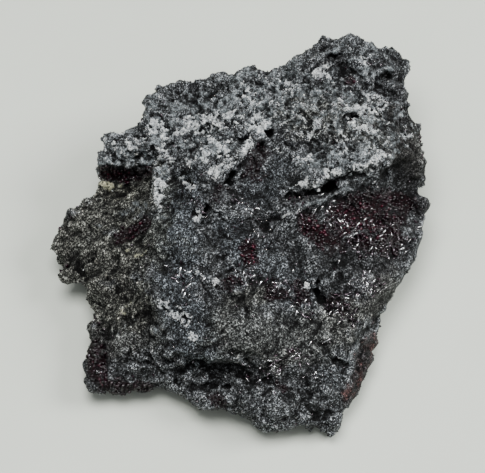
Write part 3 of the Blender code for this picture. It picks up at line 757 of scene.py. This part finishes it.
# ---- Materials ----
class Look:
    """A material, with short ways to make its nodes. Sizes are in millimetres."""

    def __init__(self, name):
        self.material = bpy.data.materials.new(name)
        self.material.use_nodes = True
        self.nodes = self.material.node_tree.nodes
        self.links = self.material.node_tree.links
        self.shader = self.nodes["Principled BSDF"]
        self.place = self.nodes.new("ShaderNodeTexCoord").outputs["Object"]

    def plug(self, value, socket):
        """Fills a socket with a number, a colour or another node's output."""
        if isinstance(value, float):
            socket.default_value = value
        elif isinstance(value, tuple):
            socket.default_value = (*value, 1.0)
        else:
            self.links.new(value, socket)

    def texture(self, kind, place, size, **values):
        """A texture node whose features are of this size."""
        node = self.nodes.new(kind)
        node.inputs["Scale"].default_value = 1.0 / (size * MM)
        for name, value in values.items():
            node.inputs[name].default_value = value
        self.plug(place, node.inputs["Vector"])
        return node

    def noise(self, size, detail=3.0, roughness=0.6):
        node = self.texture("ShaderNodeTexNoise", self.place, size, Detail=detail, Roughness=roughness)
        return node.outputs["Fac"]

    def cells(self, size, output="Distance"):
        return self.texture("ShaderNodeTexVoronoi", self.place, size).outputs[output]

    def walls(self, size):
        """Thin walls between crooked cells: 1 on a wall, 0 inside the cells."""
        bend = self.texture("ShaderNodeTexNoise", self.place, 0.8 * size)
        crooked = self.nodes.new("ShaderNodeVectorMath")
        crooked.operation = "MULTIPLY_ADD"
        crooked.inputs[1].default_value = (1.2 * size * MM,) * 3
        self.plug(bend.outputs["Color"], crooked.inputs[0])
        self.plug(self.place, crooked.inputs[2])
        cell = self.texture("ShaderNodeTexVoronoi", crooked.outputs["Vector"], size)
        cell.feature = "DISTANCE_TO_EDGE"
        return self.ramp(cell.outputs["Distance"], (0.0, 1.0), (0.09, 0.8), (0.20, 0.0))

    def broken(self, name, walls):
        """A zone's cover, broken up by fine noise and held together along the walls."""
        fine = self.ramp(self.noise(0.32, 5.0, 0.8), (0.40, 0.0), (0.60, 0.38))
        fine = self.mix(0.22, fine, walls, "ADD")
        cover = self.ramp(self.attribute(name), (0.0, 0.0), (1.0, 0.62))
        return self.ramp(self.mix(1.0, cover, fine, "ADD"), (0.74, 0.0), (0.86, 1.0))

    def attribute(self, name):
        node = self.nodes.new("ShaderNodeAttribute")
        node.attribute_name = name
        return node.outputs["Fac"]

    def ramp(self, source, *stops):
        """stops are (position, grey or colour)."""
        node = self.nodes.new("ShaderNodeValToRGB")
        elements = node.color_ramp.elements
        while len(elements) < len(stops):
            elements.new(0.5)
        for element, (position, colour) in zip(elements, stops):
            element.position = position
            element.color = (*((colour,) * 3 if isinstance(colour, float) else colour), 1.0)
        self.plug(source, node.inputs["Fac"])
        return node.outputs["Color"]

    def mix(self, share, first, second, blend="MIX"):
        node = self.nodes.new("ShaderNodeMix")
        node.data_type = "RGBA"
        node.blend_type = blend
        for value, number in ((share, 0), (first, 6), (second, 7)):
            self.plug(value, node.inputs[number])
        return node.outputs[2]

    def times(self, first, second):
        return self.mix(1.0, first, second, "MULTIPLY")

    def tinted(self, zone, colour, tint):
        """The colour, multiplied by a tint where the surface carries the zone."""
        return self.mix(self.attribute(zone), colour, self.times(colour, tint))

    def bump(self, height, strength, distance):
        node = self.nodes.new("ShaderNodeBump")
        node.inputs["Strength"].default_value = strength
        node.inputs["Distance"].default_value = distance * MM
        self.plug(height, node.inputs["Height"])
        self.plug(node.outputs["Normal"], self.shader.inputs["Normal"])

    def set(self, **values):
        """Fills the shader's sockets by name, with spaces as underscores."""
        for name, value in values.items():
            self.plug(value, self.shader.inputs[name.replace("_", " ")])


def zone_colours(look, grey):
    """The ore's greys, tinted by the zones that the surface carries."""
    return look.tinted("blue", look.tinted("olive", grey, (1.13, 1.07, 0.88)), (0.86, 0.92, 0.98))


def ore_colour(look, painted_relief_shade):
    """Speckled dark grey, nearly black in the gaps, with painted shade deep down and painted light on the
    peaks.
    """
    grain = look.ramp(look.cells(0.20, "Color"), (0.28, 0.003), (0.48, 0.025), (0.66, 0.066), (0.86, 0.29))
    gaps = look.ramp(look.noise(0.6, 4.0, 0.75), (0.39, 0.08), (0.47, 0.87), (0.62, 1.35))
    broad = look.ramp(look.noise(7.0, 3.0), (0.35, 0.75), (0.65, 1.2))
    grey = look.times(look.times(grain, look.times(gaps, broad)), painted_relief_shade)
    colour = zone_colours(look, look.times(grey, (0.94, 1.0, 1.05)))
    # Darker ore, and painted shade where the dark strokes lie in recesses and on the shaded flank.
    return look.tinted("dark", colour, (0.36, 0.34, 0.34))


def dust_colour(look, painted_relief_shade, walls):
    """The thin grey dust, lighter along the walls, with some painted shade deep down."""
    dust = look.ramp(look.noise(0.35, 4.0, 0.75), (0.38, 0.006), (0.47, 0.045), (0.56, 0.095), (0.68, 0.22))
    dust = look.mix(look.ramp(walls, (0.0, 0.0), (1.0, 0.4)), dust, (0.32, 0.345, 0.355))
    specks = look.ramp(look.cells(0.20, "Color"), (0.25, 0.45), (0.50, 0.95), (0.75, 1.5))
    shade = look.times(specks, look.mix(0.7, (1.0, 1.0, 1.0), painted_relief_shade))
    return look.times(look.times(dust, shade), (0.94, 1.0, 1.03))


def chalk_colour(look, rise, walls):
    """The whitish crust, whitest along the walls, with painted shade deep down."""
    chalk = look.ramp(look.noise(0.40, 4.0, 0.75), (0.38, 0.01), (0.48, (0.10, 0.11, 0.115)),
                      (0.58, (0.28, 0.30, 0.31)), (0.68, (0.80, 0.85, 0.87)))
    chalk = look.mix(look.ramp(walls, (0.0, 0.0), (1.0, 0.9)), chalk, (0.92, 0.97, 0.99))
    # Painted shade: the crust darkens in the hollows, by the skin's prominence.
    chalk = look.times(chalk, look.ramp(rise, (0.10, 0.05), (0.30, 0.6), (0.50, 1.0)))
    return look.times(chalk, look.ramp(look.cells(0.22, "Color"), (0.30, 0.40), (0.60, 1.0)))


def ore_look():
    look = Look("dark_ore")
    rise = look.attribute("rise")
    # Painted shade and light: the colour darkens in the hollows and lightens on the peaks, by the skin's
    # prominence.
    painted_relief_shade = look.ramp(rise, (0.05, 0.04), (0.28, 0.28), (0.48, 0.9), (0.70, 1.3), (1.0, 2.2))
    walls = look.walls(1.0)
    chalk = chalk_colour(look, rise, walls)
    ruby = look.ramp(look.noise(0.5, 3.0), (0.4, (0.002, 0.001, 0.0012)), (0.66, (0.012, 0.002, 0.004)))
    # Rust red on the flank, with painted shade that darkens it.
    rust_and_shade = look.ramp(look.noise(2.0, 3.0), (0.40, (0.42, 0.38, 0.38)), (0.60, (0.62, 0.30, 0.27)))
    colour = ore_colour(look, painted_relief_shade)
    colour = look.mix(look.attribute("dusty"), colour, dust_colour(look, painted_relief_shade, walls))
    colour = look.mix(look.broken("pale", walls), colour, chalk)
    colour = look.mix(look.attribute("cream"), colour, look.times(chalk, (0.70, 0.66, 0.44)))
    colour = look.mix(look.attribute("ruby"), colour, ruby)
    colour = look.tinted("flank", colour, rust_and_shade)
    rough = look.ramp(look.noise(0.5, 2.0), (0.3, 0.5), (0.7, 0.9))
    look.set(Base_Color=colour, Roughness=rough, Specular_IOR_Level=0.15)
    look.bump(look.mix(0.35, look.noise(0.40, 5.0, 0.8), look.cells(0.25)), 1.0, 0.55)
    return look.material


def grain_look():
    look = Look("ore_grains")
    grey = look.ramp(look.attribute("tone"), (0.0, 0.006), (0.45, 0.045), (0.8, 0.20), (1.0, 0.70))
    colour = look.tinted("dusty", zone_colours(look, grey), (1.6, 1.65, 1.65))
    rough = look.ramp(look.noise(0.3, 2.0), (0.3, 0.35), (0.7, 0.7))
    look.set(Base_Color=colour, Roughness=rough)
    look.bump(look.noise(0.15, 3.0, 0.7), 0.5, 0.1)
    return look.material


def pale_look():
    look = Look("pale_crust")
    white = look.ramp(look.attribute("tone"), (0.0, (0.11, 0.12, 0.13)), (0.4, (0.42, 0.46, 0.48)),
                      (0.9, (0.98, 0.99, 0.98)))
    colour = look.tinted("cream", white, (0.80, 0.74, 0.50))
    dust = look.ramp(look.noise(0.35, 3.0), (0.35, 0.6), (0.6, 1.0))
    look.set(Base_Color=look.times(colour, dust), Roughness=0.8)
    look.bump(look.noise(0.14, 3.0, 0.7), 0.5, 0.1)
    return look.material


def proustite_look():
    """Nearly black prisms, some of them dark red, most of all in the vivid fields."""
    look = Look("proustite")
    red = look.ramp(look.attribute("tone"), (0.0, (0.001, 0.001, 0.001)), (0.5, (0.012, 0.001, 0.005)),
                    (1.0, (0.075, 0.004, 0.016)))
    rough = look.ramp(look.noise(0.4, 2.0), (0.35, 0.06), (0.7, 0.22))
    look.set(Base_Color=red, Roughness=rough, IOR=1.7, Specular_IOR_Level=0.3)
    look.bump(look.noise(0.12, 2.0), 0.15, 0.03)
    return look.material


def bright_look():
    """Crystals that catch the light: a near-metallic, lighter copy of proustite, whitest on the crystals
    turned to mirror the window.
    """
    look = Look("proustite_bright")
    steel = look.ramp(look.attribute("tone"), (0.0, (0.06, 0.03, 0.045)), (0.7, (0.40, 0.36, 0.40)),
                      (1.0, (0.95, 0.95, 0.97)))
    rough = look.ramp(look.noise(0.3, 2.0), (0.35, 0.08), (0.7, 0.28))
    look.set(Base_Color=steel, Roughness=rough, Metallic=0.9)
    look.bump(look.noise(0.12, 2.0), 0.15, 0.03)
    return look.material


def floor_look():
    look = Look("pale_table")
    tint = look.ramp(look.noise(60.0, 3.0), (0.3, (0.555, 0.59, 0.52)), (0.7, (0.595, 0.63, 0.56)))
    look.set(Base_Color=tint, Roughness=0.5)
    return look.material


# ---- The pieces ----
def finish_piece(obj, material):
    obj.data.materials.clear()
    obj.data.materials.append(material)
    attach(obj, "root")


def dress_skin(skin):
    points, normals, _ = arrays_of(skin.data)
    rise = prominence(skin.data)
    for name, cover in zone_covers(points, normals, rise).items():
        store(skin, name, cover)
    finish_piece(skin, ore_look())
    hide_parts("matrix_rock")
    return rise


def lifted(surface, margin):
    """0 so near the floor that a crystal there would pass through it, 1 further up."""
    return smooth_step((surface.middles[:, 2] - margin) / 0.4)


def grow_ore_grains(surface, zones):
    """Micro-crystals in swarms over the ore."""
    rng = np.random.default_rng(SEEDS["ore_grains"])
    swarm = 0.35 + 0.65 * patches(surface.middles, 2.4, 0.45, 71)
    upward = 0.25 + 0.75 * smooth_step((surface.normals[:, 2] + 0.6) / 0.3)
    bare = (1.0 - 0.7 * zones["even"]) * (1.0 - zones["ruby"]) * (1.0 - 0.5 * zones["dark"])
    bare = bare * smooth_step((zones["rise"] - 0.2) / 0.3)
    density = ORE_GRAINS_PER_MM2 * swarm * upward * bare * lifted(surface, 0.6)
    picks, places, normals = surface.sample(density, ORE_GRAINS_MOST, rng)
    count = len(places)
    size = 0.07 + 0.14 * rng.random(count) ** 2.0
    sizes = size[:, None] * (0.6 + 0.8 * rng.random((count, 3)))
    frames = turned_frames(normals, 0.7, rng)
    places = places + normals * (0.3 * size)[:, None]
    grains = grown("ore_grains", OCTAHEDRON, places, frames, sizes, 0.5, rng)
    # Painted shade and light: grains are darker deep down and lighter on the peaks, and darker in the dark
    # zone.
    tone = rng.random(count) ** 2.2 * (0.25 + 0.9 * zones["rise"][picks]) + 0.2 * zones["pale"][picks]
    tone *= 1.0 - 0.5 * zones["dark"][picks]
    store_each(grains, "tone", np.clip(tone, 0.0, 1.0), OCTAHEDRON)
    for name in ("olive", "blue", "dusty"):
        store_each(grains, name, zones[name][picks], OCTAHEDRON)
    finish_piece(grains, grain_look())


def grow_pale_crust(surface, zones):
    """Tufts of whitish grains along thin walls, with gaps between the tufts."""
    rng = np.random.default_rng(SEEDS["pale_crust"])
    facing = smooth_step((surface.normals[:, 2] + 0.1) / 0.5)
    cover = np.maximum(zones["pale"], zones["cream"]) + 0.05 * zones["dusty"]
    density = PALE_PLACES_PER_MM2 * cover * facing * lifted(surface, 0.6)
    picks, places, normals = surface.sample(density, PALE_PLACES_MOST, rng)
    wall = filigree(places)
    kept = np.flatnonzero(rng.random(len(places)) < 0.02 + 0.98 * wall)[:PALE_GRAINS_MOST]
    picks, places, normals, wall = [values[kept] for values in (picks, places, normals, wall)]
    count = len(places)
    size = 0.05 + 0.10 * rng.random(count) ** 2.0
    sizes = size[:, None] * np.array((1.9, 0.55, 0.7)) * (0.7 + 0.6 * rng.random((count, 3)))
    height = PALE_HEIGHT * rng.random(count) * zones["pale"][picks] * wall
    sizes[:, 2] = np.maximum(sizes[:, 2], 1.25 * height)  # the grain's lower tip reaches the skin
    frames = turned_frames(normals, 0.8, rng)
    crust = grown("pale_crust", OCTAHEDRON, places + normals * height[:, None], frames, sizes, 0.5, rng)
    # Painted shade and light: the grains are darker deep down and lighter on the peaks.
    tone = (0.15 + 1.05 * rng.random(count)) * (0.3 + 0.7 * wall) * (0.3 + 1.4 * zones["rise"][picks])
    store_each(crust, "tone", np.clip(tone, 0.0, 1.0), OCTAHEDRON)
    store_each(crust, "cream", zones["cream"][picks], OCTAHEDRON)
    finish_piece(crust, pale_look())


def grow_proustite(surface, zones):
    """Six-sided pointed prisms of proustite, crowded in their fields."""
    shape = pointed_prism(6, 0.3)
    rng = np.random.default_rng(SEEDS["proustite"])
    crowd = 0.4 + 0.6 * patches(surface.middles, 1.8, 0.5, 72)
    density = PRISMS_PER_MM2 * zones["ruby"] * crowd * lifted(surface, 1.4)
    _, places, normals = surface.sample(density, PRISMS_MOST, rng)
    count = len(places)
    radius = 0.12 + 0.24 * rng.random(count) ** 2.0
    length = radius * (2.4 + 2.2 * rng.random(count))
    sizes = np.stack([radius, radius, length], axis=1)
    frames = turned_frames(normals, 0.8, rng)
    roots = places - normals * (0.35 * length)[:, None]
    prisms = grown("proustite_prisms", shape, roots, frames, sizes, 0.0, rng)
    vivid = stroke_cover(picture_place(places), places, VIVID)
    store_each(prisms, "tone", rng.random(count) ** 1.4 * (0.4 + 0.6 * vivid), shape)
    finish_piece(prisms, proustite_look())
    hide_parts(*CRUSTS)


def flash_frames(angles, spread, rng):
    """Frames that lay a flash along each angle, one side turned to mirror the window."""
    mirror = TOWARDS_CAMERA + np.array(WINDOW) / np.linalg.norm(WINDOW)
    sides = leaning(np.tile(mirror / np.linalg.norm(mirror), (len(angles), 1)), spread, rng)
    axes = np.cos(angles)[:, None] * RIGHT + np.sin(angles)[:, None] * PICTURE_UP
    axes = unit(axes - (axes * sides).sum(axis=1)[:, None] * sides)
    first = unit(sides + np.cross(sides, axes))
    return np.stack([first, np.cross(axes, first), axes], axis=1)


def settled(surface, shape, lift, places, frames, sizes):
    """Places, lifted by so much towards the camera and lowered until each crystal touches the skin."""
    places = places + lift * TOWARDS_CAMERA
    tree = BVHTree.FromObject(surface.skin, bpy.context.evaluated_depsgraph_get())
    points = places[:, None, :] + np.einsum("nvk,nkd->nvd", shape[0] * sizes[:, None, :], frames)
    gaps = np.full(points.shape[:2], PROBE)
    for crystal, corner in np.ndindex(gaps.shape):
        start = Vector((points[crystal, corner] + PROBE * TOWARDS_CAMERA) * MM)
        distance = tree.ray_cast(start, Vector(-TOWARDS_CAMERA))[3]
        if distance is not None:
            gaps[crystal, corner] = distance / MM - PROBE
    lowered = np.clip(gaps.min(axis=1) + SETTLED_DEPTH, 0.0, lift)
    return places - lowered[:, None] * TOWARDS_CAMERA


def scattered_bright(surface, zones, shape, rng):
    """Places, frames and sizes of slim prisms at all angles, and which of them flash."""
    facing = smooth_step((surface.normals[:, 2] + 0.2) / 0.5)
    swarm = 0.3 + 0.7 * patches(surface.middles, 1.5, 0.4, 73)
    crowd = BRIGHT_PRISMS_PER_MM2
    density = crowd["glint"] * zones["glint"] + crowd["anywhere"] + crowd["ruby"] * zones["ruby"]
    density = density * facing * swarm * (1.0 - 0.8 * zones["even"])
    picks, places, normals = surface.sample(density * lifted(surface, 1.6), BRIGHT_PRISMS_MOST, rng)
    count = len(places)
    radius = 0.05 + 0.13 * rng.random(count) ** 2.5
    glint = zones["glint"][picks]
    length = 0.35 * glint + radius * (3.0 + 3.0 * glint + (2.0 + 6.0 * glint) * rng.random(count))
    sizes = np.stack([radius, radius, length], axis=1)
    frames = turned_frames(normals, 1.2, rng)
    flashing = rng.random(count) < 0.25 * glint
    frames[flashing] = flash_frames(rng.random(flashing.sum()) * math.pi, 0.12, rng)
    chosen = [values[flashing] for values in (places, frames, sizes)]
    places[flashing] = settled(surface, shape, FLASH_LIFT, *chosen)
    return places, frames, sizes, flashing


def named_flashes(surface, shape, rng):
    """Places, frames and sizes of the largest crystals that flash."""
    length = np.array([1.25 * length * PIXEL for _, _, length, _ in FLASHES])
    radius = 0.10 + 0.09 * rng.random(len(FLASHES))
    sizes = np.stack([radius, radius, length], axis=1)
    frames = flash_frames(np.radians([angle for _, _, _, angle in FLASHES]), 0.06, rng)
    seen = [surface.seen_at(u, v) for u, v, _, _ in FLASHES]
    places = surface.middles[seen] - frames[:, 2] * (0.5 * length)[:, None]
    return settled(surface, shape, NAMED_FLASH_LIFT, places, frames, sizes), frames, sizes


def grow_bright_prisms(surface, zones):
    """Slimmer prisms that lie at all angles and flash, and the named flashes among them."""
    shape = pointed_prism(4, 0.25)
    rng = np.random.default_rng(SEEDS["bright"])
    *scattered, flashing = scattered_bright(surface, zones, shape, rng)
    named = named_flashes(surface, shape, rng)
    places, frames, sizes = [np.concatenate(pair) for pair in zip(scattered, named)]
    bright = grown("bright_prisms", shape, places, frames, sizes, 0.0, rng)
    # The crystals turned to mirror the window get full tone, near-white metal: a lit copy of proustite, a
    # painted highlight that brightens their flash.
    tone = np.where(flashing, 1.0, rng.random(len(flashing)) ** 1.5)
    store_each(bright, "tone", np.concatenate([tone, np.ones(len(FLASHES))]), shape)
    finish_piece(bright, bright_look())


# ---- Stage ----
def build_floor():
    corners = FLOOR_HALF * np.array([(-1, -1, 0), (1, -1, 0), (1, 1, 0), (-1, 1, 0)])
    floor = mesh_object("floor", corners, [(0, 1, 2, 3)])
    floor.data.materials.append(floor_look())


def aimed(name, data, place, direction):
    """A light or camera at a place, looking in a direction."""
    obj = linked(name, data)
    obj.location = place
    obj.rotation_euler = Vector(direction).to_track_quat("-Z", "Y").to_euler()
    return obj


def build_light():
    world = bpy.data.worlds.new("studio")
    bpy.context.scene.world = world
    world.use_nodes = True
    background = world.node_tree.nodes["Background"]
    background.inputs["Color"].default_value = (*SKY, 1.0)
    background.inputs["Strength"].default_value = SKY_STRENGTH
    for name, place, width, power, colour in LIGHTS:
        data = bpy.data.lights.new(name, "AREA")
        data.shape = "DISK"
        data.size = width
        data.energy = power
        data.color = colour
        aimed(name, data, place, -Vector(place))


def build_camera():
    data = bpy.data.cameras.new("camera")
    data.sensor_width = 36.0
    data.lens = data.sensor_width * DISTANCE / (PICTURE[0] * PIXEL)
    data.clip_start = 0.05
    data.clip_end = 20.0
    place = (LOOK_AT + DISTANCE * TOWARDS_CAMERA) * MM
    bpy.context.scene.camera = aimed("camera", data, place, -TOWARDS_CAMERA)


def main():
    build_camera()
    build_light()
    build_floor()
    skin = build_skin()
    rise = dress_skin(skin)
    surface = Surface(skin)
    zones = zone_covers(surface.middles, surface.normals, surface.averaged(rise))
    grow_ore_grains(surface, zones)
    grow_pale_crust(surface, zones)
    grow_proustite(surface, zones)
    grow_bright_prisms(surface, zones)


main()
